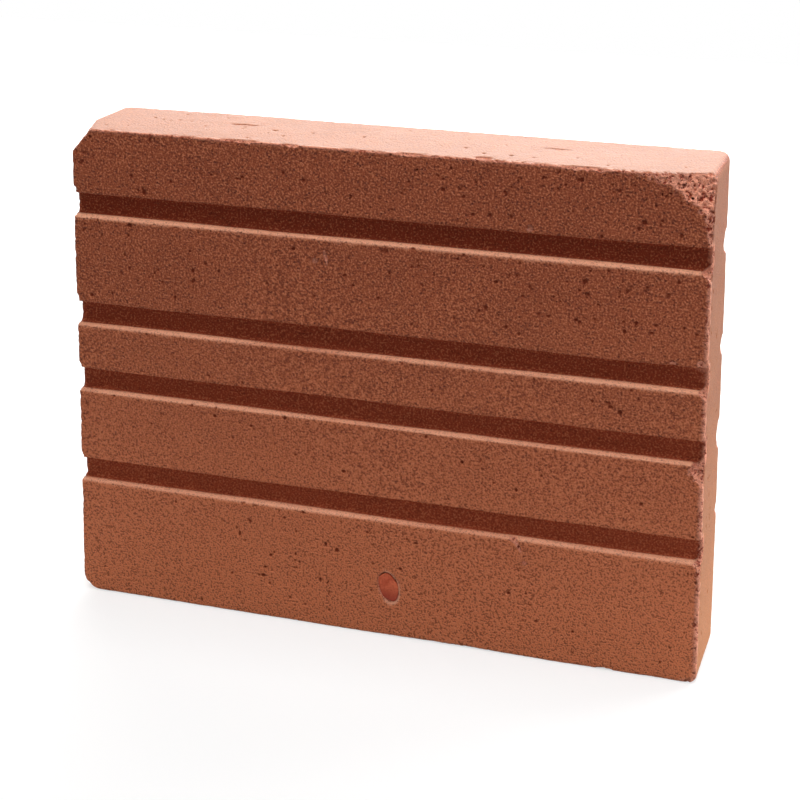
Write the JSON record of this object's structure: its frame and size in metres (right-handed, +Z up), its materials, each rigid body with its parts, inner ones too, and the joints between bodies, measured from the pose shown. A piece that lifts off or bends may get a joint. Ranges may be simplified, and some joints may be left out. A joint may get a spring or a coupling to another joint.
{
  "type": "grooved clay block",
  "caption": "Rectangular fired-clay block on its long narrow face, with straight grooves across both broad faces, a cut corner, a chipped corner and a small hard nodule.",
  "frame": {"origin": "middle of the long narrow face that the block stands on", "axes": "+X along the block's length, -Y out of the front face with the nodule, +Z up"},
  "size_m": [0.23, 0.041, 0.176],
  "materials": {
    "fired_clay": "matte",
    "hard_nodule": "satin"
  },
  "bodies": {
    "root": {"block": "fired_clay", "nodule": "hard_nodule"}
  },
  "joints": []
}
